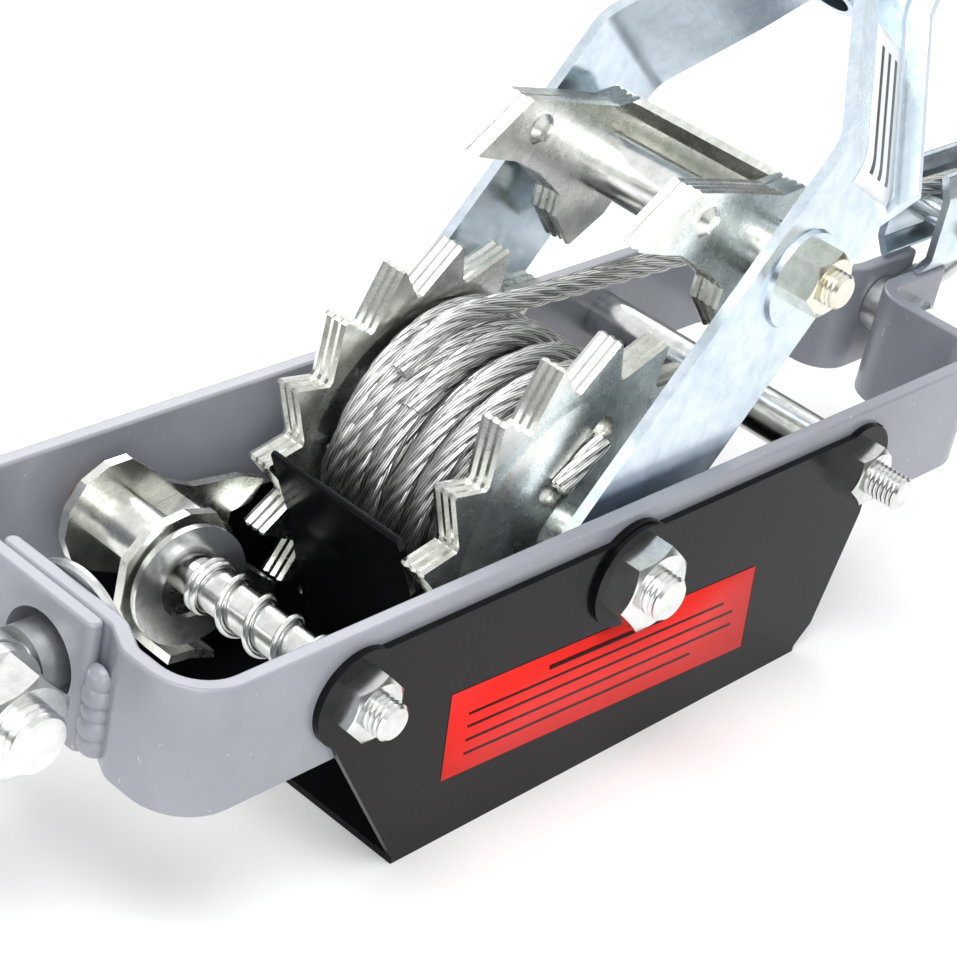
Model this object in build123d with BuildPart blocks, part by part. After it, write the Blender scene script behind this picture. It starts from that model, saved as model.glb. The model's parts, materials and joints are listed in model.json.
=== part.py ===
from build123d import *
import math
import os

# A come along winch (hand cable puller), in millimetres.
# X runs along the frame from the frame hook to the pulley block, Y across it, Z up.
# Everything is laid out about the drum axle, then stood on its lowest point at export.

# ---- frame -------------------------------------------------------------
BAR_T = 4.5
BAR_H = 36.0
FRAME_W = 101.6
LEFT_X = -150.8
RIGHT_X = 170.0
CORNER_R = 13.75
EAR_BEND_R = 10.0
EAR_GAP = 7.0
EAR_END_X = 201.0
LAP_END_Y = 20.0
JOGGLE_START_Y = -27.0
JOGGLE_END_Y = -18.0
PLATE_END_Y = -14.2
SHANK_HOLE_R = 12.0
WELD_Y = -19.0
RAIL_Y = FRAME_W / 2
RAIL_IN_Y = RAIL_Y - BAR_T
BAR_EDGE_R = 0.9

# ---- bolts -------------------------------------------------------------
PAWL_BOLT_X = -98.0
TIE_BOLT_X = 101.0
ANCHOR_X = 186.0
ANCHOR_Z = 4.0
M10_R = 5.0
ANCHOR_R = 4.0
AXLE_R = 6.35
HOLE_PLAY = 0.3
FIT_PLAY = 0.05
M10_NUT_AF = 16.0
M10_NUT_H = 6.0
AXLE_NUT_AF = 22.0
AXLE_NUT_H = 8.0
THREAD_DEPTH = 0.6

# ---- guard -------------------------------------------------------------
SHEET_T = 2.0
GUARD_TOP_Z = 12.0
GUARD_BOTTOM_Z = -60.0
LOBE_R = 13.5
TONGUE_TOP = (-55.5, 10.5)
TONGUE_FOOT = (-29.0, -60.5)
TONGUE_Y = (-20.8, 25.5)

# ---- drum and ratchet wheels -------------------------------------------
TOOTH_COUNT = 16
TIP_R = 55.5
ROOT_R = 44.8
TOOTH_PHASE = 17.0
PLATE_T = 2.6
PLATE_GAP = 0.05
FRONT_WHEEL_Y = -22.0
REAR_WHEEL_Y = 26.7
DISH_DEPTH = 3.2
DISH_RIM_R = 41.0
RIM_FROM_R = 43.0
EDGE_TAPER = 17.0
DISH_HUB_R = 17.0
CORE_R = 16.5
BUSH_R = 9.5
COIL_R = 43.2
ROPE_D = 6.4

# ---- handle ------------------------------------------------------------
HANDLE_DEG = 49.5
ARM_T = 3.2
ARM_OUT_Y = 43.5
ARM_HALF_W = 20.0
CROSS_R = 90.9
ARM_BEND_S = (122.0, 172.0)
ARM_TOP_S = 226.0
STEM_R = 9.5
STEM_S = (160.0, 300.0)
RIVET_S = (186.0, 212.0)
GRIP_S = (262.0, 385.0)
GRIP_R = 16.0

# ---- drive pawls -------------------------------------------------------
TUBE_R = 9.0
PACK_T = 9.6
PACK_LAYERS = 4
FRONT_PACK_Y = -31.4
REAR_PACK_Y = 26.2

# ---- holding pawl ------------------------------------------------------
EAR_T = 2.6
REAR_EAR_Y = 36.6
FRONT_EAR_Y = 10.2
HUB_R = 7.5
NOSE_Y = (27.0, 36.55)
SLEEVE_R = 5.5
WASHER_R = 16.0
WASHER_HOLE_R = 8.5
SPRING_R = 6.5
SPRING_WIRE_R = 0.95

# ---- pulley block ------------------------------------------------------
SHEAVE_X = 240.0
SHEAVE_Z = 32.0
SHEAVE_PITCH_R = 12.0
SHEAVE_R = 15.5
SHEAVE_W = 9.5
CHEEK_T = 2.5
CHEEK_X = (187.0, 279.0)
CHEEK_WEB_Y = 9.25
YOKE_X = (265.0, 277.0)
HOOK_Z = 34.5

# ---- hooks -------------------------------------------------------------
BOWL_AT = 38.0
BOWL_R = 19.5
NECK_AT = 10.0
HOOK_BAR_R = 6.5
LATCH_AT = (8.0, 10.0)
CLEVIS_X = -171.0
CLEVIS_R = 8.0

ALL_PARTS = []


def node(builder, name):
    """Label a finished sub-part and keep it for export."""
    builder.part.label = name
    ALL_PARTS.append(builder.part)


def facing(x, y, z=0.0):
    """A plane at (x, y, z) whose normal points to the front (-Y), with its X along the frame and Y up."""
    return Plane(origin=(x, y, z), x_dir=(1, 0, 0), z_dir=(0, -1, 0))


def handle_point(s, across=0.0):
    """The X and Z of a point s along the handle from the axle, and across to its upper-left side."""
    a = math.radians(HANDLE_DEG)
    return (s * math.cos(a) - across * math.sin(a), s * math.sin(a) + across * math.cos(a))


CROSS_X, CROSS_Z = handle_point(CROSS_R)


# ======================= frame bars =======================
def cut_bolt_holes():
    """Bolt holes through both rails, in the open part builder."""
    with Locations(facing(PAWL_BOLT_X, 0), facing(TIE_BOLT_X, 0)):
        Cylinder(M10_R + HOLE_PLAY, FRAME_W + 10, mode=Mode.SUBTRACT)
    with Locations(facing(0, 0)):
        Cylinder(AXLE_R + HOLE_PLAY, FRAME_W + 10, mode=Mode.SUBTRACT)


def cut_end_holes():
    """The swivel's hole in the left end, and the anchor bolt's hole in the right ears."""
    with Locations(Plane(origin=(LEFT_X, 0, 0), z_dir=(1, 0, 0))):
        Cylinder(SHANK_HOLE_R, 4 * BAR_T, mode=Mode.SUBTRACT)
    with Locations(facing(ANCHOR_X, 0, ANCHOR_Z)):
        Cylinder(ANCHOR_R + HOLE_PLAY, 30, mode=Mode.SUBTRACT)


def soften_bar_edges(builder):
    """Round the long edges of a rolled bar."""
    levels = builder.edges().group_by(Axis.Z)
    fillet(levels[0] + levels[-1], BAR_EDGE_R)


mid = BAR_T / 2
ear_y = EAR_GAP / 2 + mid

with BuildPart() as front_frame_bar:
    with BuildSketch(Plane.XY.offset(-BAR_H / 2)):
        with BuildLine():
            path = FilletPolyline(
                (LEFT_X + BAR_T + mid, LAP_END_Y),
                (LEFT_X + BAR_T + mid, JOGGLE_END_Y),
                (LEFT_X + mid, JOGGLE_START_Y),
                (LEFT_X + mid, -RAIL_Y + mid),
                (RIGHT_X - mid, -RAIL_Y + mid),
                (RIGHT_X - mid, -ear_y),
                (EAR_END_X, -ear_y),
                radius=[6.0, 6.0, CORNER_R, CORNER_R, EAR_BEND_R],
            )
            offset(path, amount=mid, side=Side.BOTH)
        make_face()
    extrude(amount=BAR_H)
    soften_bar_edges(front_frame_bar)
    cut_bolt_holes()
    cut_end_holes()
node(front_frame_bar, "front_frame_bar")

with BuildPart() as rear_frame_bar:
    with BuildSketch(Plane.XY.offset(-BAR_H / 2)):
        with BuildLine():
            path = FilletPolyline(
                (LEFT_X + mid, PLATE_END_Y),
                (LEFT_X + mid, RAIL_Y - mid),
                (RIGHT_X - mid, RAIL_Y - mid),
                (RIGHT_X - mid, ear_y),
                (EAR_END_X, ear_y),
                radius=[CORNER_R, CORNER_R, EAR_BEND_R],
            )
            offset(path, amount=mid, side=Side.BOTH)
        make_face()
    extrude(amount=BAR_H)
    soften_bar_edges(rear_frame_bar)
    cut_bolt_holes()
    cut_end_holes()
node(rear_frame_bar, "rear_frame_bar")


# ======================= weld =======================
with BuildPart() as frame_weld:
    for height, swell in ((-13.0, 4.4), (-8.5, 4.7), (-4.0, 4.3), (0.5, 4.6), (4.5, 4.2)):
        with Locations((LEFT_X + 3.1, WELD_Y, height)):
            Sphere(swell)
    add(front_frame_bar.part, mode=Mode.SUBTRACT)
    add(rear_frame_bar.part, mode=Mode.SUBTRACT)
    with Locations((LEFT_X + 7.0, WELD_Y, 0)):
        Box(10.0, 20.0, BAR_H, mode=Mode.SUBTRACT)
node(frame_weld, "frame_weld")


# ======================= guard =======================
def guard_panel(y_back):
    """One side panel of the guard, with round lobes under the nuts."""
    with BuildSketch(facing(0, y_back)) as outline:
        with BuildLine():
            Polyline(
                (-104.0, GUARD_TOP_Z),
                (-110.5, 0.0),
                (-101.0, -17.0),
                (-73.5, GUARD_BOTTOM_Z),
                (95.0, GUARD_BOTTOM_Z),
                (101.0, -54.0),
                (110.0, -18.0),
                (108.0, GUARD_TOP_Z),
                close=True,
            )
        make_face()
        with Locations((PAWL_BOLT_X, 0), (TIE_BOLT_X, 0)):
            Circle(LOBE_R)
        with Locations((0, 0)):
            Circle(LOBE_R + 2)
    extrude(outline.sketch, amount=SHEET_T)


with BuildPart() as guard:
    guard_panel(-RAIL_Y)
    guard_panel(RAIL_Y + SHEET_T)
    with Locations((10.75, 0, GUARD_BOTTOM_Z - SHEET_T / 2)):
        Box(168.5, FRAME_W + 2 * SHEET_T, SHEET_T)
    with BuildSketch(facing(0, TONGUE_Y[1])):
        with BuildLine():
            tongue_path = FilletPolyline(
                TONGUE_TOP, (-44.5, -12.0), (-38.0, -30.0), (-31.0, -48.0), TONGUE_FOOT, radius=18
            )
            offset(tongue_path, amount=SHEET_T / 2, side=Side.BOTH)
        make_face()
    extrude(amount=TONGUE_Y[1] - TONGUE_Y[0])
    cut_bolt_holes()
node(guard, "guard")


# ======================= fasteners on the frame =======================
def turned(points, plane):
    """Turn a closed outline of (radius, along) points about the plane's own Y axis."""
    with BuildSketch(plane) as outline:
        with BuildLine():
            Polyline(*points, close=True)
        make_face()
    revolve(outline.sketch, axis=Axis(plane.origin, plane.y_dir))


def across_axis(x, z=0.0):
    """A plane whose Y is a cross axis of the frame through (x, z)."""
    return Plane(origin=(x, 0, z), x_dir=(1, 0, 0), z_dir=(0, 0, 1))


def along_axis(z=0.0):
    """A plane whose Y runs along the frame's X at height z."""
    return Plane(origin=(0, 0, z), x_dir=(0, -1, 0), z_dir=(0, 0, 1))


def rod(plane, r, start, end, thread_to, pitch=1.5, bore=0.0):
    """A rod along the plane's Y, ring-grooved from its start up to thread_to."""
    outline = [(bore, start), (r - 0.8, start), (r, start + 0.8)]
    for i in range(int((thread_to - start - 1.0) / pitch)):
        base = start + 1.0 + i * pitch
        outline += [(r, base + 0.2), (r - THREAD_DEPTH, base + pitch / 2), (r, base + pitch - 0.2)]
    outline += [(r, end), (bore, end)]
    turned(outline, plane)


def hexagon(x, y, z, af, height, bore=0.0):
    """A chamfered hexagon standing forward from y, with an optional bore."""
    with BuildSketch(facing(x, y, z)) as outline:
        RegularPolygon(af / 2, 6, major_radius=False, rotation=15)
        if bore:
            Circle(bore, mode=Mode.SUBTRACT)
    extrude(outline.sketch, amount=height)
    corner = af / math.sqrt(3)
    with BuildSketch(across_axis(x, z)) as chamfers:
        with BuildLine():
            Polyline(
                (af / 2 - 0.4, y - height),
                (corner + 1, y - height),
                (corner + 1, y - height + 1 + (corner - af / 2) * 0.6),
                close=True,
            )
        make_face()
    revolve(chamfers.sketch, axis=Axis((x, 0, z), (0, 1, 0)), mode=Mode.SUBTRACT)


NUT_Y = -RAIL_Y - SHEET_T
HEAD_Y = RAIL_Y + SHEET_T

with BuildPart() as axle_bolt:
    rod(across_axis(0), AXLE_R, -66.8, HEAD_Y + 0.1, -54.0)
    hexagon(0, HEAD_Y + AXLE_NUT_H, 0, AXLE_NUT_AF, AXLE_NUT_H)
node(axle_bolt, "axle_bolt")

with BuildPart() as axle_washer:
    with BuildSketch(facing(0, NUT_Y)):
        Circle(15.0)
        Circle(AXLE_R + FIT_PLAY, mode=Mode.SUBTRACT)
    extrude(amount=1.5)
node(axle_washer, "axle_washer")

with BuildPart() as axle_nut:
    hexagon(0, NUT_Y - 1.5, 0, AXLE_NUT_AF, AXLE_NUT_H, AXLE_R + FIT_PLAY)
node(axle_nut, "axle_nut")

with BuildPart() as pawl_bolt:
    rod(across_axis(PAWL_BOLT_X), M10_R, -64.2, HEAD_Y + 0.1, -52.0)
    hexagon(PAWL_BOLT_X, HEAD_Y + M10_NUT_H, 0, M10_NUT_AF, M10_NUT_H)
node(pawl_bolt, "pawl_bolt")

with BuildPart() as tie_bolt:
    rod(across_axis(TIE_BOLT_X), M10_R, -68.8, HEAD_Y + 0.1, -52.0)
    hexagon(TIE_BOLT_X, HEAD_Y + M10_NUT_H, 0, M10_NUT_AF, M10_NUT_H)
node(tie_bolt, "tie_bolt")

with BuildPart() as rail_nuts:
    for x in (PAWL_BOLT_X, TIE_BOLT_X):
        hexagon(x, NUT_Y, 0, M10_NUT_AF, M10_NUT_H, M10_R + FIT_PLAY)
node(rail_nuts, "rail_nuts")


def sleeve(x, r_out, r_in, y0, y1):
    """A plain tube across the frame."""
    turned([(r_in, y0), (r_out, y0), (r_out, y1), (r_in, y1)], across_axis(x))


with BuildPart() as tie_sleeve:
    sleeve(TIE_BOLT_X, 7.25, M10_R + FIT_PLAY, -RAIL_IN_Y + 0.02, RAIL_IN_Y - 0.02)
node(tie_sleeve, "tie_sleeve")

with BuildPart() as pawl_spacer:
    sleeve(PAWL_BOLT_X, 6.7, M10_R + FIT_PLAY, REAR_EAR_Y + EAR_T + 0.3, RAIL_IN_Y - 0.02)
node(pawl_spacer, "pawl_spacer")

with BuildPart() as pawl_sleeve:
    sleeve(PAWL_BOLT_X, SLEEVE_R, M10_R + FIT_PLAY, -RAIL_IN_Y + 0.02, FRONT_EAR_Y - 0.3)
node(pawl_sleeve, "pawl_sleeve")

with BuildPart() as spring_washer:
    tilt = Plane(
        origin=(PAWL_BOLT_X - 1.7, 5.4, -2.3),
        x_dir=(1, 0, 0),
        z_dir=(-0.15, -1.0, 0.12),
    )
    with BuildSketch(tilt.offset(-1.0)):
        Circle(WASHER_R)
        Circle(WASHER_HOLE_R, mode=Mode.SUBTRACT)
    extrude(amount=2.0)
node(spring_washer, "spring_washer")

with BuildPart() as pawl_spring:
    for y in (0.9, -1.05):
        with Locations(facing(PAWL_BOLT_X, y)):
            Torus(SPRING_R, SPRING_WIRE_R)
    with BuildLine() as coil_line:
        Helix(pitch=9.6, height=40.5, radius=SPRING_R, center=(PAWL_BOLT_X, -3.05, 0), direction=(0, -1, 0))
    with BuildSketch(Plane(origin=coil_line.line @ 0, z_dir=coil_line.line % 0)):
        Circle(SPRING_WIRE_R)
    sweep(path=coil_line.line, is_frenet=True)
node(pawl_spring, "pawl_spring")

with BuildPart() as anchor_bolt:
    rod(across_axis(ANCHOR_X, ANCHOR_Z), ANCHOR_R, -17.0, EAR_GAP / 2 + BAR_T + 0.1, -9.0, pitch=1.25)
    hexagon(ANCHOR_X, EAR_GAP / 2 + BAR_T + 5.3, ANCHOR_Z, 13.0, 5.3)
node(anchor_bolt, "anchor_bolt")

with BuildPart() as anchor_nut:
    hexagon(ANCHOR_X, -EAR_GAP / 2 - BAR_T, ANCHOR_Z, 13.0, 6.5, ANCHOR_R + FIT_PLAY)
node(anchor_nut, "anchor_nut")


# ======================= rope run and its terminal =======================
ROPE_R = ROPE_D / 2
LAY_R = COIL_R + ROPE_R + 0.3
FLEET_Y = 10.0
BEND_X = 200.0

drop = math.asin((LAY_R - SHEAVE_PITCH_R - SHEAVE_Z) / SHEAVE_X)
drum_top = Vector(LAY_R * math.sin(drop), FLEET_Y, LAY_R * math.cos(drop))
sheave_top = Vector(
    SHEAVE_X + SHEAVE_PITCH_R * math.sin(drop), 0, SHEAVE_Z + SHEAVE_PITCH_R * math.cos(drop)
)
bend_at = Vector(BEND_X, 0, drum_top.Z - (BEND_X - drum_top.X) * math.tan(drop))
run_in = (bend_at - drum_top).normalized()
run_out = (sheave_top - bend_at).normalized()
half_turn = math.acos(run_in.dot(run_out)) / 2
fleet_cut = 0.45 * (sheave_top - bend_at).length
FLEET_R = fleet_cut / math.tan(half_turn)
up_drum = Vector(math.sin(drop), 0, math.cos(drop))


def on_drum(angle):
    """A point on the rope's wrap over the coil, this many degrees before it leaves the drum."""
    a = math.radians(angle)
    return drum_top - up_drum * (LAY_R * (1 - math.cos(a))) - run_in * (LAY_R * math.sin(a))


to_sheave = math.atan2(SHEAVE_Z - ANCHOR_Z, SHEAVE_X - ANCHOR_X)
reach = math.hypot(SHEAVE_Z - ANCHOR_Z, SHEAVE_X - ANCHOR_X)
leg_angle = to_sheave - math.asin(SHEAVE_PITCH_R / reach)
leg = Vector(math.cos(leg_angle), 0, math.sin(leg_angle))
anchor_point = Vector(ANCHOR_X, 0, ANCHOR_Z)
sheave_low = anchor_point + leg * math.sqrt(reach**2 - SHEAVE_PITCH_R**2)
sheave_far = Vector(
    SHEAVE_X + SHEAVE_PITCH_R * math.cos(leg_angle / 2 - drop / 2),
    0,
    SHEAVE_Z + SHEAVE_PITCH_R * math.sin(leg_angle / 2 - drop / 2),
)
FERRULE_FROM = 18.4
FERRULE_TO = 32.0

with BuildPart() as rope_run:
    with BuildLine() as rope_line:
        ThreePointArc(on_drum(40), on_drum(20), drum_top)
        fleet_start = bend_at - run_in * fleet_cut
        fleet_end = bend_at + run_out * fleet_cut
        Line(drum_top, fleet_start)
        TangentArc(fleet_start, fleet_end, tangent=run_in)
        Line(fleet_end, sheave_top)
        ThreePointArc(sheave_top, sheave_far, sheave_low)
        Line(sheave_low, anchor_point + leg * (FERRULE_FROM + 1.5))
    with BuildSketch(Plane(origin=rope_line.line @ 0, z_dir=rope_line.line % 0)):
        Circle(ROPE_R)
    sweep(path=rope_line.line)
node(rope_run, "rope_run")
rope_length = sum(edge.length for edge in rope_line.edges())
print("rope radii", LAY_R, FLEET_R, SHEAVE_PITCH_R, "length", rope_length)
print("rope volume", rope_run.part.volume, "section x length", math.pi * ROPE_R**2 * rope_length)

with BuildPart() as rope_terminal:
    lug_plane = Plane(origin=anchor_point, x_dir=leg, z_dir=(0, -1, 0))
    with BuildSketch(lug_plane.offset(-ROPE_R)):
        Circle(9.0)
        with Locations((FERRULE_FROM / 2, 0)):
            Rectangle(FERRULE_FROM, 10.0)
        Circle(ANCHOR_R + FIT_PLAY, mode=Mode.SUBTRACT)
    extrude(amount=ROPE_D)
    with BuildSketch(Plane(origin=anchor_point + leg * FERRULE_FROM, z_dir=leg)):
        Circle(5.0)
    extrude(amount=FERRULE_TO - FERRULE_FROM)
    with BuildSketch(Plane(origin=anchor_point + leg * (FERRULE_FROM + 1.5), z_dir=leg)):
        Circle(ROPE_R + 0.02)
    extrude(amount=FERRULE_TO - FERRULE_FROM, mode=Mode.SUBTRACT)
node(rope_terminal, "rope_terminal")


# ======================= drum and ratchet wheels =======================
def toothed_outline():
    """The ratchet wheel's outline: a long face falling counter-clockwise, then a steep one."""
    points = []
    for i in range(TOOTH_COUNT):
        tip = TOOTH_PHASE + i * 360 / TOOTH_COUNT
        for r, turn in ((TIP_R, -0.7), (TIP_R, 0.7), (ROOT_R, 15.5), (ROOT_R, 17.0)):
            a = math.radians(tip + turn)
            points.append((r * math.cos(a), r * math.sin(a)))
    return points


def ridged(sketch, thickness):
    """Thicken a sketch both ways from its plane, with edges that slope back from a middle ridge."""
    extrude(sketch, amount=thickness / 2, taper=EDGE_TAPER)
    extrude(sketch, amount=-thickness / 2, taper=EDGE_TAPER)


def ratchet_plate(rim_y, side):
    """One dished plate whose drum-side rim face is at rim_y, bulging toward side."""
    with BuildSketch(facing(0, rim_y + side * PLATE_T / 2)) as outline:
        with BuildLine():
            Polyline(*toothed_outline(), close=True)
        make_face()
    ridged(outline.sketch, PLATE_T)
    with Locations(facing(0, 0)):
        Cylinder(RIM_FROM_R, 120, mode=Mode.SUBTRACT)
    hub_y = rim_y + side * DISH_DEPTH
    t = side * PLATE_T
    turned(
        [
            (BUSH_R + FIT_PLAY, hub_y),
            (DISH_HUB_R, hub_y),
            (DISH_RIM_R, rim_y),
            (RIM_FROM_R, rim_y),
            (RIM_FROM_R, rim_y + t),
            (DISH_RIM_R, rim_y + t),
            (DISH_HUB_R, hub_y + t),
            (BUSH_R + FIT_PLAY, hub_y + t),
        ],
        across_axis(0),
    )


STUB_FROM = Vector(-12.0, 0, 19.0)
STUB_TO = Vector(2.0, 0, 29.0)
stub_dir = (STUB_TO - STUB_FROM).normalized()
stub_mid = (STUB_FROM + STUB_TO) * 0.5
stub_y = FRONT_WHEEL_Y - 11.1

for index in range(3):
    with BuildPart() as front_plate:
        ratchet_plate(FRONT_WHEEL_Y - index * (PLATE_T + PLATE_GAP), -1)
        if index == 2:
            with BuildSketch(Plane(origin=(stub_mid.X, -20, stub_mid.Z), x_dir=stub_dir, z_dir=(0, -1, 0))):
                SlotOverall(30, 7.4)
            extrude(amount=30, mode=Mode.SUBTRACT)
    node(front_plate, f"front_ratchet_plate_{index + 1}")

for index in range(3):
    with BuildPart() as rear_plate:
        ratchet_plate(REAR_WHEEL_Y + index * (PLATE_T + PLATE_GAP), 1)
    node(rear_plate, f"rear_ratchet_plate_{index + 1}")

with BuildPart() as drum_bush:
    sleeve(0, BUSH_R, AXLE_R + 0.07, -38.5, 38.5)
node(drum_bush, "drum_bush")

with BuildPart() as drum_core:
    sleeve(0, CORE_R, BUSH_R + FIT_PLAY, FRONT_WHEEL_Y - DISH_DEPTH + 0.02, REAR_WHEEL_Y + DISH_DEPTH - 0.02)
node(drum_core, "drum_core")

COIL_Y = (FRONT_WHEEL_Y + 0.3, REAR_WHEEL_Y - 0.3)
COIL_TURNS = 7

with BuildPart() as wound_rope:
    sleeve(0, COIL_R - ROPE_R, CORE_R + 0.02, COIL_Y[0], COIL_Y[1])
    turn_pitch = (COIL_Y[1] - COIL_Y[0] - ROPE_D) / (COIL_TURNS - 1)
    for index in range(COIL_TURNS):
        with Locations(facing(0, COIL_Y[0] + ROPE_R + index * turn_pitch)):
            Torus(COIL_R - ROPE_R, ROPE_R)
node(wound_rope, "wound_rope")

with BuildPart() as rope_end_stub:
    with BuildSketch(Plane(origin=STUB_FROM + Vector(0, stub_y, 0), z_dir=stub_dir)):
        Circle(ROPE_R)
    extrude(amount=(STUB_TO - STUB_FROM).length)
node(rope_end_stub, "rope_end_stub")


# ======================= handle =======================
handle_dir = Vector(math.cos(math.radians(HANDLE_DEG)), 0, math.sin(math.radians(HANDLE_DEG)))


def handle_flat(side, level=0.0):
    """A plane along the handle whose Y points to the given side of the frame, lifted across by level."""
    normal = Vector(-handle_dir.Z, 0, handle_dir.X)
    return Plane(origin=normal * level, x_dir=handle_dir, z_dir=normal * side)


def handle_face(y):
    """A plane facing the front at y, with its X along the handle."""
    return Plane(origin=(0, y, 0), x_dir=handle_dir, z_dir=(0, -1, 0))


def handle_arm(side):
    """One pressed arm: rounded about the axle, bent in to the stem, with an outward edge flange."""
    flat = handle_flat(side, -side * ARM_HALF_W)
    y0 = ARM_OUT_Y - ARM_T / 2
    y1 = STEM_R + ARM_T / 2
    with BuildSketch(flat) as strip:
        with BuildLine():
            bent = FilletPolyline(
                (-ARM_HALF_W - 1, y0),
                (ARM_BEND_S[0], y0),
                (ARM_BEND_S[1], y1),
                (ARM_TOP_S + 4, y1),
                radius=14.0,
            )
            offset(bent, amount=ARM_T / 2, side=Side.BOTH)
        make_face()
    extrude(strip.sketch, amount=2 * ARM_HALF_W)
    with BuildSketch(handle_face(60)) as outline:
        Circle(ARM_HALF_W)
        with BuildLine():
            Polyline(
                (0, ARM_HALF_W),
                (150.0, ARM_HALF_W),
                (ARM_TOP_S, 13.0),
                (ARM_TOP_S, -13.0),
                (150.0, -ARM_HALF_W),
                (0, -ARM_HALF_W),
                close=True,
            )
        make_face()
    extrude(outline.sketch, amount=120, mode=Mode.INTERSECT)
    boss_at = (CROSS_X - 2, side * (ARM_OUT_Y - 0.5), CROSS_Z - 1.5)
    with BuildSketch(Plane(origin=boss_at, x_dir=(1, 0, 0), z_dir=(0, side, 0))) as boss:
        Circle(14.5)
    extrude(boss.sketch, amount=2.0, taper=20)
    with Locations(facing(CROSS_X, 0, CROSS_Z)):
        Cylinder(M10_R + HOLE_PLAY, 120, mode=Mode.SUBTRACT)
    with Locations(facing(0, 0)):
        Cylinder(AXLE_R + 0.07, 120, mode=Mode.SUBTRACT)
    for s in RIVET_S:
        x, z = handle_point(s)
        with Locations(facing(x, 0, z)):
            Cylinder(3.0, 40, mode=Mode.SUBTRACT)


with BuildPart() as front_handle_arm:
    handle_arm(-1)
node(front_handle_arm, "front_handle_arm")
with BuildPart() as rear_handle_arm:
    handle_arm(1)
node(rear_handle_arm, "rear_handle_arm")

EDGE_FLANGE_H = 7.0

# The front arm's lower edge is turned out from where the arm starts to bend in.
with BuildPart() as arm_edge_flange:
    with BuildSketch(handle_flat(-1, -ARM_HALF_W + ARM_T)):
        with BuildLine():
            Polyline(
                (116.0, ARM_OUT_Y + 0.02),
                (124.0, ARM_OUT_Y + 0.02),
                (171.5, STEM_R + ARM_T + 1.5),
                (200.0, STEM_R + ARM_T + 0.02),
                (200.0, STEM_R + ARM_T + 1.5),
                (174.0, STEM_R + ARM_T + EDGE_FLANGE_H),
                (128.0, ARM_OUT_Y + EDGE_FLANGE_H - 2),
                close=True,
            )
        make_face()
    extrude(amount=ARM_T)
    add(front_handle_arm.part, mode=Mode.SUBTRACT)
node(arm_edge_flange, "arm_edge_flange")

with BuildPart() as cross_tube:
    turned(
        [
            (M10_R + FIT_PLAY, -ARM_OUT_Y + ARM_T + 0.02),
            (TUBE_R, -ARM_OUT_Y + ARM_T + 0.02),
            (TUBE_R, ARM_OUT_Y - ARM_T - 0.02),
            (M10_R + FIT_PLAY, ARM_OUT_Y - ARM_T - 0.02),
        ],
        across_axis(CROSS_X, CROSS_Z),
    )
node(cross_tube, "cross_tube")

BOSS_Y = ARM_OUT_Y + 1.5
with BuildPart() as cross_bolt:
    rod(across_axis(CROSS_X, CROSS_Z), M10_R, -56.5, BOSS_Y + 0.1, -46.0)
    hexagon(CROSS_X, BOSS_Y + 6.4, CROSS_Z, 16.5, 6.4)
node(cross_bolt, "cross_bolt")

with BuildPart() as cross_nut:
    hexagon(CROSS_X, -BOSS_Y, CROSS_Z, 16.5, 7.6, M10_R + FIT_PLAY)
node(cross_nut, "cross_nut")

stem_axis = Plane(
    origin=(0, 0, 0),
    x_dir=(0, 1, 0),
    z_dir=(math.sin(math.radians(HANDLE_DEG)), 0, -math.cos(math.radians(HANDLE_DEG))),
)
with BuildPart() as handle_stem:
    low, high = STEM_S
    turned(
        [(STEM_R - 2.5, low), (STEM_R - 0.02, low), (STEM_R - 0.02, high), (STEM_R - 2.5, high)],
        stem_axis,
    )
    for s in RIVET_S:
        x, z = handle_point(s)
        with Locations(facing(x, 0, z)):
            Cylinder(3.0, 40, mode=Mode.SUBTRACT)
node(handle_stem, "handle_stem")

with BuildPart() as handle_rivets:
    for s in RIVET_S:
        x, z = handle_point(s)
        face = STEM_R + ARM_T
        turned(
            [
                (0, -face - 2.2),
                (3.4, -face - 2.0),
                (5.5, -face - 0.02),
                (2.95, -face - 0.02),
                (2.95, face + 0.02),
                (5.5, face + 0.02),
                (3.4, face + 2.0),
                (0, face + 2.2),
            ],
            across_axis(x, z),
        )
node(handle_rivets, "handle_rivets")

with BuildPart() as handle_grip:
    low, high = GRIP_S
    outline = [(STEM_R + 0.02, low), (GRIP_R - 2.5, low), (GRIP_R, low + 3), (GRIP_R, low + 7), (GRIP_R - 2.5, low + 10)]
    ribs = 10
    for i in range(ribs):
        base = low + 14 + i * 9.0
        outline += [(GRIP_R - 2.5, base), (GRIP_R - 4.0, base + 1.5), (GRIP_R - 4.0, base + 3.0), (GRIP_R - 2.5, base + 4.5)]
    outline += [
        (GRIP_R - 2.5, high - 12),
        (GRIP_R, high - 8),
        (GRIP_R - 1, high - 2),
        (GRIP_R - 5, high),
        (0, high),
        (0, STEM_S[1] + 0.02),
        (STEM_R + 0.02, STEM_S[1] + 0.02),
    ]
    turned(outline, stem_axis)
node(handle_grip, "handle_grip")


# ======================= drive pawls =======================
PAWL_OUTLINE = [
    (-57.0, 13.0),
    (-38.0, 26.0),
    (-20.0, 22.0),
    (0.0, 17.0),
    (9.0, 17.5),
    (15.0, 10.0),
    (13.0, -6.0),
    (4.0, -17.0),
    (-9.0, -24.0),
    (-18.0, -13.0),
    (-17.6, -7.0),
    (-29.4, 2.5),
    (-39.5, 8.0),
    (-50.6, 11.0),
]


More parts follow.
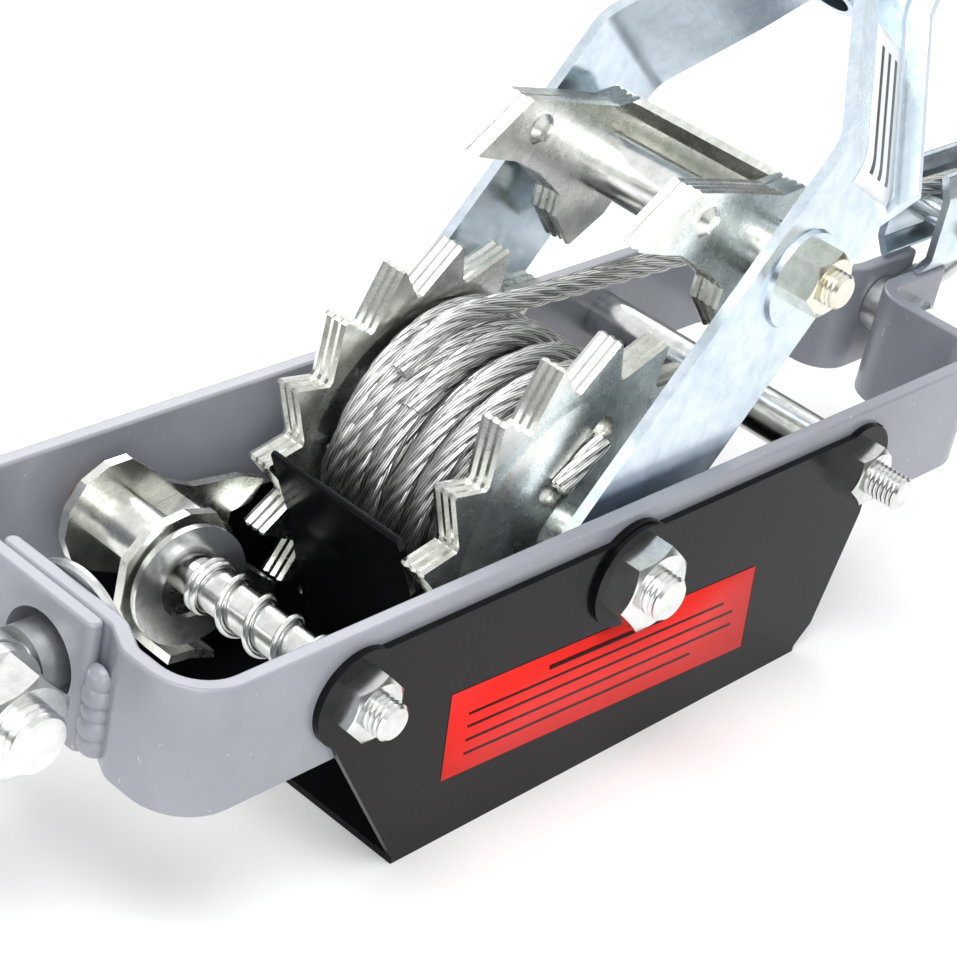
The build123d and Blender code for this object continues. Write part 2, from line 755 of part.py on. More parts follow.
def pawl_web(mode):
    """The web that folds round the cross tube and joins the two drive pawls."""
    with BuildSketch(facing(CROSS_X, REAR_PACK_Y + PACK_T, CROSS_Z)) as web:
        with BuildLine():
            Polyline(
                (9.0, 17.5),
                (15.0, 10.0),
                (13.0, -6.0),
                (8.8, -11.2),
                (7.2, -9.6),
                (10.9, -5.2),
                (12.7, 9.2),
                (7.4, 15.9),
                close=True,
            )
        make_face()
    extrude(web.sketch, amount=REAR_PACK_Y + PACK_T - FRONT_PACK_Y, mode=mode)


def pawl_lamination(y_back, thickness, trim=0.0):
    """One lamination of a drive pawl, bored for the cross tube."""
    with BuildSketch(facing(CROSS_X, y_back - thickness / 2, CROSS_Z)) as outline:
        with BuildLine():
            Polyline(*PAWL_OUTLINE, close=True)
        make_face()
        if trim:
            offset(amount=-trim, kind=Kind.INTERSECTION)
    ridged(outline.sketch, thickness)
    with Locations(facing(CROSS_X, y_back - thickness / 2, CROSS_Z)):
        Cylinder(TUBE_R + FIT_PLAY, 1.5 * thickness, mode=Mode.SUBTRACT)
    with Locations(facing(CROSS_X - 32.0, y_back - thickness / 2, CROSS_Z + 16.0)):
        Cylinder(2.5, 1.5 * thickness, mode=Mode.SUBTRACT)


LAYER_T = PACK_T / PACK_LAYERS
PACK_BACK = {"front": FRONT_PACK_Y + PACK_T, "rear": REAR_PACK_Y + PACK_T}

for place, back in PACK_BACK.items():
    with BuildPart() as pack:
        for index in range(PACK_LAYERS - 1):
            first = back if place == "front" else back - LAYER_T
            pawl_lamination(first - index * LAYER_T, LAYER_T - 0.04, 0.3 * (index % 2))
        pawl_web(Mode.SUBTRACT)
    node(pack, f"{place}_drive_pawl")

with BuildPart() as drive_pawl_bracket:
    pawl_lamination(FRONT_PACK_Y + LAYER_T - 0.04, LAYER_T - 0.04)
    pawl_lamination(REAR_PACK_Y + PACK_T, LAYER_T - 0.04)
    pawl_web(Mode.ADD)
node(drive_pawl_bracket, "drive_pawl_bracket")

with BuildPart() as drive_pawl_rivets:
    for y0, y1 in ((FRONT_PACK_Y, FRONT_PACK_Y + PACK_T), (REAR_PACK_Y, REAR_PACK_Y + PACK_T)):
        turned(
            [(0, y0 - 2.0), (2.5, y0 - 1.7), (4.5, y0 - 0.02), (2.45, y0 - 0.02), (2.45, y1), (0, y1)],
            across_axis(CROSS_X - 32.0, CROSS_Z + 16.0),
        )
node(drive_pawl_rivets, "drive_pawl_rivets")


# ======================= holding pawl =======================
def rest_profile(points, y_back, thickness, mode=Mode.ADD):
    """A flat piece of the holding pawl in its rest position."""
    with BuildSketch(facing(0, y_back)) as outline:
        with BuildLine():
            Polyline(*points, close=True)
        make_face()
    extrude(outline.sketch, amount=thickness, mode=mode)


NOSE_CUT = [(-83.9, -25.0), (-83.9, 2.0), (-91.0, 2.0), (-91.0, -25.0)]

with BuildPart() as holding_pawl_bracket:
    rest_profile(
        [
            (-94.0, 15.0),
            (-101.0, 15.0),
            (-108.0, 11.6),
            (-112.5, 5.0),
            (-113.0, -3.0),
            (-110.0, -10.0),
            (-104.0, -15.0),
            (-84.0, -24.0),
            (-62.0, -42.0),
            (-52.5, -42.0),
            (-46.5, -34.0),
            (-57.0, -22.0),
            (-56.0, -13.5),
            (-49.0, -13.0),
            (-45.0, -6.7),
            (-53.4, -3.4),
            (-71.2, -0.7),
            (-80.0, 3.5),
            (-85.0, 8.0),
        ],
        REAR_EAR_Y + EAR_T,
        EAR_T,
    )
    rest_profile(
        [
            (-98.0, 15.0),
            (-110.0, 14.0),
            (-116.5, 7.0),
            (-117.0, -6.0),
            (-112.0, -15.0),
            (-104.0, -24.0),
            (-96.0, -25.0),
            (-88.0, -19.0),
            (-84.5, -8.0),
            (-84.5, 6.0),
            (-89.0, 12.5),
        ],
        FRONT_EAR_Y + EAR_T,
        EAR_T,
    )
    rest_profile(
        [(-86.5, -18.0), (-84.0, -17.0), (-84.0, -1.0), (-86.5, -1.0)],
        REAR_EAR_Y + 0.1,
        REAR_EAR_Y - FRONT_EAR_Y,
    )
    rest_profile(NOSE_CUT, NOSE_Y[1] + 0.1, 9.8, Mode.SUBTRACT)
    rest_profile(
        [(-104.0, -24.0), (-96.0, -25.0), (-88.0, -28.0), (-88.5, -25.5), (-95.5, -22.5), (-103.5, -21.5)],
        FRONT_EAR_Y + 3.0,
        9.0,
    )
    with Locations(facing(PAWL_BOLT_X, (FRONT_EAR_Y + REAR_EAR_Y + EAR_T) / 2)):
        Cylinder(HUB_R, REAR_EAR_Y - FRONT_EAR_Y + EAR_T)
        Cylinder(M10_R + 0.08, 60, mode=Mode.SUBTRACT)
node(holding_pawl_bracket, "holding_pawl_bracket")

NOSE_LAYERS = 4
with BuildPart() as holding_pawl_nose:
    layer = (NOSE_Y[1] - NOSE_Y[0]) / NOSE_LAYERS
    for index in range(NOSE_LAYERS):
        rest_profile(
            [
                (-43.8, -35.3),
                (-57.7, -25.0),
                (-65.2, -9.8),
                (-76.0, -1.0),
                (-83.8, -2.0),
                (-83.8, -23.0),
                (-62.0, -43.0),
                (-51.3, -44.6),
            ],
            NOSE_Y[1] - index * layer,
            layer - 0.04,
        )
node(holding_pawl_nose, "holding_pawl_nose")

with BuildPart() as holding_pawl_rivets:
    for x, z in ((-67.0, -22.0), (-58.0, -32.0)):
        turned(
            [
                (0, REAR_EAR_Y + EAR_T + 0.02),
                (4.6, REAR_EAR_Y + EAR_T + 0.02),
                (3.0, REAR_EAR_Y + EAR_T + 1.8),
                (0, REAR_EAR_Y + EAR_T + 2.1),
            ],
            across_axis(x, z),
        )
node(holding_pawl_rivets, "holding_pawl_rivets")


# ======================= hooks =======================
def hook_path(x0, sign, z0, lead):
    """The centreline of a hook whose neck starts lead before x0, opening upward, and its named points."""

    def at(u, w):
        return Vector(x0 + sign * u, 0, z0 + w)

    gap = BOWL_AT - NECK_AT
    neck_r = (gap**2 - BOWL_R**2) / (2 * BOWL_R)
    turn = math.atan2(neck_r, gap)

    def on_neck(a):
        return at(NECK_AT + neck_r * math.cos(a), -neck_r + neck_r * math.sin(a))

    def on_bowl(a):
        return at(BOWL_AT + BOWL_R * math.cos(a), BOWL_R * math.sin(a))

    start = turn + math.pi
    end = math.radians(360 + 98)
    with BuildLine() as line:
        Line(at(-lead, 0), at(NECK_AT, 0))
        ThreePointArc(at(NECK_AT, 0), on_neck((math.pi / 2 + turn) / 2), on_neck(turn))
        ThreePointArc(on_neck(turn), on_bowl((start + end) / 2), on_bowl(end))
    return Wire.combine(line.edges())[0], on_bowl(end)


HOOK_SECTIONS = [(0.0, 6.5), (0.2, 6.5), (0.4, 7.6), (0.6, 8.0), (0.78, 7.2), (0.92, 5.4), (1.0, 4.4)]


def hook_bar(x0, sign, z0, lead):
    """The hook's bar, swelling round the bowl and tapering to a rounded point."""
    path, tip = hook_path(x0, sign, z0, lead)
    sections = []
    for where, r in HOOK_SECTIONS:
        with BuildSketch(Plane(origin=path @ where, x_dir=(0, 1, 0), z_dir=path % where)) as section:
            Ellipse(r * 0.92, r)
        sections.append(section.sketch)
    sweep(sections, path=path, multisection=True)
    with Locations(tip):
        Sphere(HOOK_SECTIONS[-1][1])


def latch_lug(x0, sign, z0):
    """The small lug on the hook's neck that carries the latch, with its pin."""
    x, z = x0 + sign * LATCH_AT[0], z0 + LATCH_AT[1]
    with Locations((x, 0, z - 2.0)):
        Box(7.0, 5.6, 8.0)
    with Locations(facing(x, 0, z)):
        Cylinder(1.55, 10.4)


def latch_plate(x0, sign, z0):
    """A spring latch: two ears on the pin and a tongue reaching under the hook's tip."""
    x, z = x0 + sign * LATCH_AT[0], z0 + LATCH_AT[1]
    with BuildSketch(facing(0, 5.2)) as outline:
        with Locations((x, z)):
            Circle(3.2)
        with BuildLine():
            Polyline(
                (x, z + 3.0),
                (x + sign * 24.0, z + 3.6),
                (x + sign * 24.4, z + 1.8),
                (x, z - 0.5),
                close=True,
            )
        make_face()
        with Locations((x, z)):
            Circle(1.62, mode=Mode.SUBTRACT)
    extrude(outline.sketch, amount=10.4)
    with Locations((x, 0, z - 1.0)):
        Box(12.0, 6.4, 14.0, mode=Mode.SUBTRACT)


# ======================= frame hook =======================
DISC_R = 20.0
PLATE_IN_X = LEFT_X + 2 * BAR_T + 0.3
with BuildPart() as swivel_stud:
    turned(
        [
            (0, CLEVIS_X + 11),
            (4.9, CLEVIS_X + 11),
            (4.9, CLEVIS_X + 14.6),
            (9.0, CLEVIS_X + 14.6),
            (9.0, PLATE_IN_X),
            (DISC_R - 0.8, PLATE_IN_X),
            (DISC_R, PLATE_IN_X + 0.8),
            (DISC_R, PLATE_IN_X + 2.0),
            (DISC_R - 3, PLATE_IN_X + 3.4),
            (DISC_R - 9, PLATE_IN_X + 5.0),
            (6.0, PLATE_IN_X + 5.6),
            (0, PLATE_IN_X + 5.7),
        ],
        along_axis(),
    )
    with Locations(facing(CLEVIS_X, 0)):
        Cylinder(14.5, 10.0)
        Cylinder(CLEVIS_R + FIT_PLAY, 20.0, mode=Mode.SUBTRACT)
node(swivel_stud, "swivel_stud")

EYE_HALF = 5.0
CLEVIS_EAR_T = 4.0
CLEVIS_OUT = EYE_HALF + 0.1 + CLEVIS_EAR_T
with BuildPart() as clevis_bolt:
    rod(across_axis(CLEVIS_X), CLEVIS_R, -26.5, CLEVIS_OUT + 0.1, -20.0, pitch=2.0)
    hexagon(CLEVIS_X, CLEVIS_OUT + 10.0, 0, 24.0, 10.0)
node(clevis_bolt, "clevis_bolt")

with BuildPart() as clevis_nut:
    hexagon(CLEVIS_X, -CLEVIS_OUT, 0, 24.0, 12.0, CLEVIS_R + FIT_PLAY)
node(clevis_nut, "clevis_nut")

HOOK_X0 = CLEVIS_X - 26.0
with BuildPart() as frame_hook:
    hook_bar(HOOK_X0, -1, 0, 8.0)
    with Locations((CLEVIS_X - 22.0, 0, 0)):
        Box(12.0, 2 * CLEVIS_OUT, 18.0)
    for side in (-1, 1):
        with BuildSketch(facing(CLEVIS_X, side * (EYE_HALF + 0.1) + (0 if side < 0 else CLEVIS_EAR_T))) as ear:
            Circle(14.0)
            with Locations((-11.0, 0)):
                Rectangle(22.0, 20.0)
        extrude(ear.sketch, amount=CLEVIS_EAR_T)
    with Locations(facing(CLEVIS_X, 0)):
        Cylinder(CLEVIS_R + FIT_PLAY, 40.0, mode=Mode.SUBTRACT)
    latch_lug(HOOK_X0, -1, 0)
node(frame_hook, "frame_hook")

with BuildPart() as frame_hook_latch:
    latch_plate(HOOK_X0, -1, 0)
node(frame_hook_latch, "frame_hook_latch")


# ======================= pulley block =======================
def cheek(side):
    """One cheek: a web with both edges turned in, bored for the sheave pin and the yoke."""
    with BuildSketch(Plane(origin=(CHEEK_X[0], 0, 0), x_dir=(0, side, 0), z_dir=(side, 0, 0))) as strip:
        with BuildLine():
            bent = FilletPolyline(
                (6.6, 51.5),
                (CHEEK_WEB_Y, 45.0),
                (CHEEK_WEB_Y, 24.5),
                (6.6, 18.4 + CHEEK_T / 2),
                radius=3.0,
            )
            offset(bent, amount=CHEEK_T / 2, side=Side.BOTH)
        make_face()
    extrude(strip.sketch, amount=side * (CHEEK_X[1] - CHEEK_X[0]))
    with Locations(facing(SHEAVE_X, 0, SHEAVE_Z)):
        Cylinder(4.0 + FIT_PLAY, 40, mode=Mode.SUBTRACT)
    with Locations(facing(sum(YOKE_X) / 2, 0, HOOK_Z)):
        Cylinder(5.0 + FIT_PLAY, 40, mode=Mode.SUBTRACT)
    with Locations(facing(CHEEK_BOLT_X, 0, CHEEK_BOLT_Z)):
        Cylinder(3.0 + FIT_PLAY, 40, mode=Mode.SUBTRACT)


CHEEK_BOLT_X = 209.0
CHEEK_BOLT_Z = 30.0
with BuildPart() as front_cheek:
    cheek(-1)
node(front_cheek, "front_cheek")
with BuildPart() as rear_cheek:
    cheek(1)
node(rear_cheek, "rear_cheek")

CHEEK_OUT = CHEEK_WEB_Y + CHEEK_T / 2
with BuildPart() as sheave_pin:
    rod(across_axis(SHEAVE_X, SHEAVE_Z), 4.0, -CHEEK_OUT - 9.0, CHEEK_OUT + 0.1, -CHEEK_OUT - 2.0, pitch=1.25)
    hexagon(SHEAVE_X, CHEEK_OUT + 5.3, SHEAVE_Z, 13.0, 5.3)
node(sheave_pin, "sheave_pin")

with BuildPart() as cheek_bolt:
    rod(across_axis(CHEEK_BOLT_X, CHEEK_BOLT_Z), 3.0, -CHEEK_OUT - 7.0, CHEEK_OUT + 0.1, -CHEEK_OUT - 1, pitch=1.0)
    hexagon(CHEEK_BOLT_X, CHEEK_OUT + 4.0, CHEEK_BOLT_Z, 10.0, 4.0)
    sleeve_y = CHEEK_WEB_Y - CHEEK_T / 2 - 0.02
    turned([(2.9, -sleeve_y), (4.5, -sleeve_y), (4.5, sleeve_y), (2.9, sleeve_y)], across_axis(CHEEK_BOLT_X, CHEEK_BOLT_Z))
node(cheek_bolt, "cheek_bolt")

with BuildPart() as block_nuts:
    hexagon(SHEAVE_X, -CHEEK_OUT, SHEAVE_Z, 13.0, 6.5, 4.0 + FIT_PLAY)
    hexagon(CHEEK_BOLT_X, -CHEEK_OUT, CHEEK_BOLT_Z, 10.0, 5.0, 3.0 + FIT_PLAY)
node(block_nuts, "block_nuts")

with BuildPart() as sheave:
    half = SHEAVE_W / 2
    groove_bottom = SHEAVE_PITCH_R - ROPE_R - 0.1
    with BuildSketch(across_axis(SHEAVE_X, SHEAVE_Z)) as rim:
        with BuildLine():
            Polyline(
                (4.07, -half),
                (SHEAVE_R, -half),
                (SHEAVE_R, half),
                (4.07, half),
                close=True,
            )
        make_face()
        with Locations((SHEAVE_PITCH_R, 0)):
            Circle(ROPE_R + 0.15, mode=Mode.SUBTRACT)
        with Locations((SHEAVE_PITCH_R + 5, 0)):
            Rectangle(10.0, 2 * ROPE_R + 0.3, mode=Mode.SUBTRACT)
    revolve(rim.sketch, axis=Axis((SHEAVE_X, 0, SHEAVE_Z), (0, 1, 0)))
node(sheave, "sheave")

with BuildPart() as block_yoke:
    with Locations((sum(YOKE_X) / 2, 0, HOOK_Z)):
        Box(YOKE_X[1] - YOKE_X[0], 2 * (CHEEK_WEB_Y - CHEEK_T / 2) - 0.1, 17.0)
    with Locations(facing(sum(YOKE_X) / 2, 0, HOOK_Z)):
        Cylinder(5.0, 2 * CHEEK_OUT + 4.0)
    with Locations(Plane(origin=(sum(YOKE_X) / 2, 0, HOOK_Z), z_dir=(1, 0, 0))):
        Cylinder(6.0 + 0.08, 20, mode=Mode.SUBTRACT)
node(block_yoke, "block_yoke")

with BuildPart() as block_hook_nut:
    turned(
        [
            (5.5, YOKE_X[0] - 6.4),
            (7.4, YOKE_X[0] - 6.4),
            (7.4, YOKE_X[0] - 0.4),
            (5.5, YOKE_X[0] - 0.4),
        ],
        along_axis(HOOK_Z),
    )
node(block_hook_nut, "block_hook_nut")

BLOCK_HOOK_X0 = CHEEK_X[1] + 14.0
with BuildPart() as block_hook:
    turned(
        [
            (0, YOKE_X[0] - 6.9),
            (5.45, YOKE_X[0] - 6.9),
            (5.45, YOKE_X[0] - 0.4),
            (6.0, YOKE_X[0] - 0.4),
            (6.0, CHEEK_X[1] + 1.0),
            (9.5, CHEEK_X[1] + 1.0),
            (9.5, CHEEK_X[1] + 5.0),
            (6.6, CHEEK_X[1] + 9.0),
            (0, CHEEK_X[1] + 9.0),
        ],
        along_axis(HOOK_Z),
    )
    hook_bar(BLOCK_HOOK_X0, 1, HOOK_Z, 7.0)
    latch_lug(BLOCK_HOOK_X0, 1, HOOK_Z)
node(block_hook, "block_hook")

with BuildPart() as block_hook_latch:
    latch_plate(BLOCK_HOOK_X0, 1, HOOK_Z)
node(block_hook_latch, "block_hook_latch")


# ======================= export =======================
boxes = [piece.bounding_box() for piece in ALL_PARTS]
low = [min(box.min.X for box in boxes), min(box.min.Y for box in boxes), min(box.min.Z for box in boxes)]
high = [max(box.max.X for box in boxes), max(box.max.Y for box in boxes), max(box.max.Z for box in boxes)]
SHIFT = Vector(-(low[0] + high[0]) / 2, -(low[1] + high[1]) / 2, -low[2])
print("shift", SHIFT, "low", low, "high", high)

os.makedirs("parts", exist_ok=True)
for piece in ALL_PARTS:
    placed = piece.moved(Location(SHIFT))
    placed.label = piece.label
    export_step(placed, f"parts/{piece.label}.step")
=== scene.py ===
"""Looks for the come along winch: materials, wire rope strands, labels, light, floor and camera."""
import json
import math

import bpy
import numpy as np
from mathutils import Matrix, Vector


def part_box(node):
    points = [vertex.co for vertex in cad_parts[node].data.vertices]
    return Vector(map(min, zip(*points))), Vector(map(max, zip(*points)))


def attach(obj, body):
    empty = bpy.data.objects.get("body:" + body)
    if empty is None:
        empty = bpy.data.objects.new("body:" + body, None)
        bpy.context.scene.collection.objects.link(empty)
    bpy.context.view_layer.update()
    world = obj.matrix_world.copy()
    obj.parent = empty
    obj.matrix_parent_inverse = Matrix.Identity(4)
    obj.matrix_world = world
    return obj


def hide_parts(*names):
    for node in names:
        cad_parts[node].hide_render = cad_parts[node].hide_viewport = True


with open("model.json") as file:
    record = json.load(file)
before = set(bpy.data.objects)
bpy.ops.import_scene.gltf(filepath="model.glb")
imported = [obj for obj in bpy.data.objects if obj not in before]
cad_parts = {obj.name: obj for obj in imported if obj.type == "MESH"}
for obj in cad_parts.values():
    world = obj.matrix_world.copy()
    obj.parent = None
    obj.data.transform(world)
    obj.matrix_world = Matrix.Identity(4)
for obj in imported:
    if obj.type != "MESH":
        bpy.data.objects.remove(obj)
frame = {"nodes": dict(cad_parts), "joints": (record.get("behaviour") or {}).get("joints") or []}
nodes = frame["nodes"]
joints = {joint["name"]: joint for joint in frame["joints"]}
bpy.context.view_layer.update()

AXLE = Vector(joints["drum_turn"]["pos_m"])
MM = 0.001


def at(x, y, z):
    """A point in the row frame, from millimetres about the drum axle."""
    return AXLE + Vector((x, y, z)) * MM


# ---------------------------------------------------------------- materials
def material(name):
    """A new node material, with its shader node and a maker of further nodes."""
    made = bpy.data.materials.new(name)
    made.use_nodes = True
    tree = made.node_tree
    shader = tree.nodes["Principled BSDF"]

    def add(kind, inputs=(), **settings):
        new = tree.nodes.new(kind)
        for key, value in settings.items():
            setattr(new, key, value)
        for socket, value in dict(inputs).items():
            if isinstance(value, bpy.types.NodeSocket):
                tree.links.new(value, new.inputs[socket])
            else:
                new.inputs[socket].default_value = value
        return new

    return made, tree, shader, add


def rgba(r, g, b):
    return (r, g, b, 1.0)


def noise(add, position, scale, detail=4.0, rough=0.6):
    return add(
        "ShaderNodeTexNoise",
        {"Vector": position, "Scale": scale, "Detail": detail, "Roughness": rough},
    ).outputs["Fac"]


def ramp(add, factor, stops):
    """A colour ramp through (position, colour) stops."""
    made = add("ShaderNodeValToRGB", {"Fac": factor})
    elements = made.color_ramp.elements
    while len(elements) < len(stops):
        elements.new(0.5)
    for element, (where, colour) in zip(elements, stops):
        element.position = where
        element.color = colour
    return made.outputs["Color"]


def span(add, factor, low, high):
    return add("ShaderNodeMapRange", {"Value": factor, "To Min": low, "To Max": high}).outputs["Result"]


def plated(name, light, dark, rough, bump=0.05, grain=(1, 1, 1), grain_scale=260.0, metal=1.0):
    """Plated or bare metal: cloudy tint, fine grain and uneven gloss."""
    made, tree, shader, add = material(name)
    where = add("ShaderNodeTexCoord").outputs["Object"]
    cloud = noise(add, where, 26.0, 5.0)
    spots = noise(add, where, 210.0, 3.0, 0.7)
    both = add("ShaderNodeMath", {0: cloud, 1: spots}, operation="ADD")
    half = add("ShaderNodeMath", {0: both.outputs[0], 1: 0.5}, operation="MULTIPLY")
    colour = ramp(add, half.outputs[0], [(0.36, rgba(*dark)), (0.58, rgba(*light))])
    tree.links.new(colour, shader.inputs["Base Color"])
    stretched = add("ShaderNodeMapping", {"Vector": where, "Scale": grain}).outputs["Vector"]
    fine = noise(add, stretched, grain_scale, 3.0, 0.7)
    gloss = add("ShaderNodeMath", {0: cloud, 1: fine}, operation="MULTIPLY")
    tree.links.new(span(add, gloss.outputs[0], rough[0], rough[1]), shader.inputs["Roughness"])
    relief = add("ShaderNodeBump", {"Height": fine, "Strength": bump, "Distance": 0.0004})
    tree.links.new(relief.outputs["Normal"], shader.inputs["Normal"])
    shader.inputs["Metallic"].default_value = metal
    return made


def painted(name, light, dark, rough, bump=0.12, chip=None, coat=0.35, gloss=0.5):
    """Sprayed paint: slight orange peel, uneven tone and a few worn specks."""
    made, tree, shader, add = material(name)
    where = add("ShaderNodeTexCoord").outputs["Object"]
    cloud = noise(add, where, 18.0, 5.0)
    colour = ramp(add, cloud, [(0.34, rgba(*dark)), (0.66, rgba(*light))])
    if chip:
        specks = noise(add, where, 420.0, 2.0, 0.5)
        mask = ramp(add, specks, [(0.735, rgba(0, 0, 0)), (0.76, rgba(1, 1, 1))])
        mix = add("ShaderNodeMixRGB", {"Fac": mask, "Color1": colour, "Color2": rgba(*chip)})
        colour = mix.outputs["Color"]
    tree.links.new(colour, shader.inputs["Base Color"])
    peel = noise(add, where, 520.0, 2.0, 0.5)
    tree.links.new(span(add, cloud, rough[0], rough[1]), shader.inputs["Roughness"])
    relief = add("ShaderNodeBump", {"Height": peel, "Strength": bump, "Distance": 0.0003})
    tree.links.new(relief.outputs["Normal"], shader.inputs["Normal"])
    shader.inputs["Specular IOR Level"].default_value = gloss
    shader.inputs["Coat Weight"].default_value = coat
    shader.inputs["Coat Roughness"].default_value = 0.18
    return made


FRAME_PAINT = painted(
    "frame_grey_paint", (0.30, 0.315, 0.355), (0.235, 0.25, 0.285), (0.3, 0.42), chip=(0.42, 0.43, 0.45)
)
GUARD_PAINT = painted(
    "guard_black_paint",
    (0.007, 0.007, 0.008),
    (0.003, 0.003, 0.004),
    (0.16, 0.28),
    bump=0.12,
    coat=0.0,
    gloss=0.12,
)
ZINC_BLUE = plated("zinc_blue_white", (0.74, 0.83, 0.90), (0.55, 0.66, 0.74), (0.18, 0.38), grain=(1, 6, 1))
ZINC_WARM = plated("zinc_warm_stamped", (0.84, 0.85, 0.81), (0.60, 0.62, 0.56), (0.2, 0.46), bump=0.12)
ZINC_NUT = plated("zinc_fastener", (0.84, 0.85, 0.84), (0.60, 0.62, 0.60), (0.16, 0.36), bump=0.06)
ZINC_YELLOW = plated("zinc_yellowed", (0.84, 0.82, 0.72), (0.62, 0.59, 0.46), (0.16, 0.36), bump=0.06)
RUST = plated("rusty_spacer", (0.34, 0.25, 0.18), (0.16, 0.09, 0.055), (0.55, 0.85), bump=0.6, metal=0.35)
FORGED = plated(
    "forged_zinc", (0.74, 0.75, 0.75), (0.52, 0.53, 0.52), (0.25, 0.5), bump=0.18, grain_scale=160.0
)
GRIP = painted("grip_rubber", (0.018, 0.018, 0.02), (0.01, 0.01, 0.011), (0.5, 0.68), bump=0.5)


def wired(name, light, dark):
    """Strand steel: fine wires twisted along each strand, with painted shade darkening the grooves between
    them.
    """
    made, tree, shader, add = material(name)
    uv = add("ShaderNodeUVMap", uv_map="wire").outputs["UV"]
    parts = add("ShaderNodeSeparateXYZ", {"Vector": uv})
    around = add("ShaderNodeMath", {0: parts.outputs["X"], 1: 2 * math.pi * WIRES}, operation="MULTIPLY")
    phase = add("ShaderNodeMath", {0: around.outputs[0], 1: parts.outputs["Y"]}, operation="ADD")
    wave = add("ShaderNodeMath", {0: phase.outputs[0]}, operation="SINE")
    where = add("ShaderNodeTexCoord").outputs["Object"]
    cloud = noise(add, where, 70.0, 4.0)
    wires = add(
        "ShaderNodeMapRange", {"Value": wave.outputs[0], "From Min": -1.0, "From Max": 1.0}
    ).outputs[0]
    both = add("ShaderNodeMath", {0: wires, 1: cloud}, operation="MULTIPLY")
    # The dark stop paints shade into the grooves between wires; the cloud only varies the tone at random.
    colour = ramp(add, both.outputs[0], [(0.02, rgba(*dark)), (0.26, rgba(*light))])
    tree.links.new(colour, shader.inputs["Base Color"])
    tree.links.new(span(add, cloud, 0.2, 0.42), shader.inputs["Roughness"])
    relief = add("ShaderNodeBump", {"Height": wires, "Strength": 0.45, "Distance": 0.00025})
    tree.links.new(relief.outputs["Normal"], shader.inputs["Normal"])
    shader.inputs["Metallic"].default_value = 1.0
    return made


WIRES = 9
# The second colour is the painted shade in the grooves between wires.
STRAND = wired("rope_strand_wire", (0.82, 0.83, 0.81), (0.24, 0.25, 0.24))


def printed(name, plain, bar, rows):
    """A sticker: plain colour with a few plain bars across it and a little grain."""
    made, tree, shader, add = material(name)
    uv = add("ShaderNodeUVMap", uv_map="label").outputs["UV"]
    parts = add("ShaderNodeSeparateXYZ", {"Vector": uv})
    mask = None
    for low, high, start, end in rows:
        inside = None
        edges = (("Y", low, True), ("Y", high, False), ("X", start, True), ("X", end, False))
        for axis, edge, above in edges:
            test = add(
                "ShaderNodeMath",
                {0: parts.outputs[axis], 1: edge},
                operation="GREATER_THAN" if above else "LESS_THAN",
            ).outputs[0]
            if inside is None:
                inside = test
            else:
                inside = add("ShaderNodeMath", {0: inside, 1: test}, operation="MULTIPLY").outputs[0]
        if mask is None:
            mask = inside
        else:
            mask = add("ShaderNodeMath", {0: mask, 1: inside}, operation="MAXIMUM").outputs[0]
    where = add("ShaderNodeTexCoord").outputs["Object"]
    cloud = noise(add, where, 60.0, 3.0)
    tone = ramp(add, cloud, [(0.3, rgba(*[c * 0.93 for c in plain])), (0.7, rgba(*plain))])
    mix = add("ShaderNodeMixRGB", {"Fac": mask, "Color1": tone, "Color2": rgba(*bar)})
    tree.links.new(mix.outputs["Color"], shader.inputs["Base Color"])
    tree.links.new(span(add, cloud, 0.38, 0.5), shader.inputs["Roughness"])
    shader.inputs["Specular IOR Level"].default_value = 0.15
    return made


for name, node in nodes.items():
    if name in ("front_frame_bar", "rear_frame_bar", "frame_weld"):
        chosen = FRAME_PAINT
    elif name in ("guard", "axle_washer"):
        chosen = GUARD_PAINT
    elif "arm" in name or name in ("handle_stem", "front_cheek", "rear_cheek"):
        chosen = ZINC_BLUE
    elif "ratchet" in name or "drive_pawl" in name or "holding_pawl" in name:
        chosen = ZINC_WARM
    elif name in ("rope_run", "wound_rope", "rope_end_stub"):
        chosen = STRAND
    elif name in ("cross_nut", "cross_bolt"):
        chosen = ZINC_YELLOW
    elif name == "pawl_spacer":
        chosen = RUST
    elif name == "handle_grip":
        chosen = GRIP
    elif name in ("frame_hook", "block_hook", "swivel_stud", "block_yoke", "rope_terminal"):
        chosen = FORGED
    else:
        chosen = ZINC_NUT
    node.data.materials.clear()
    node.data.materials.append(chosen)
    node.data.shade_smooth()
    node.data.set_sharp_from_angle(angle=math.radians(32))


# ---------------------------------------------------------------- wire rope
ROPE_R = 3.2 * MM
STRANDS = 6
STRAND_R = 0.35 * ROPE_R
STRAND_AT = ROPE_R - STRAND_R
LAY_LENGTH = 7.6 * 2 * ROPE_R
WIRE_LAY = 9.0 * MM
RING = 10
STEP = 1.6 * MM


def resample(points, step):
    """Evenly spaced points along a line of points."""
    line = np.array([tuple(p) for p in points], float)
    lengths = np.concatenate([[0], np.cumsum(np.linalg.norm(np.diff(line, axis=0), axis=1))])
    wanted = np.linspace(0, lengths[-1], max(2, int(lengths[-1] / step)))
    return np.stack([np.interp(wanted, lengths, line[:, i]) for i in range(3)], 1), wanted


def frames_along(line):
    """Tangents and two carried normals along a line."""
    tangent = np.gradient(line, axis=0)
    tangent /= np.linalg.norm(tangent, axis=1)[:, None]
    normal = np.zeros_like(line)
    start = np.cross(tangent[0], (0, 1, 0))
    normal[0] = start / np.linalg.norm(start)
    for i in range(1, len(line)):
        carried = normal[i - 1] - tangent[i] * np.dot(normal[i - 1], tangent[i])
        normal[i] = carried / np.linalg.norm(carried)
    return tangent, normal, np.cross(tangent, normal)


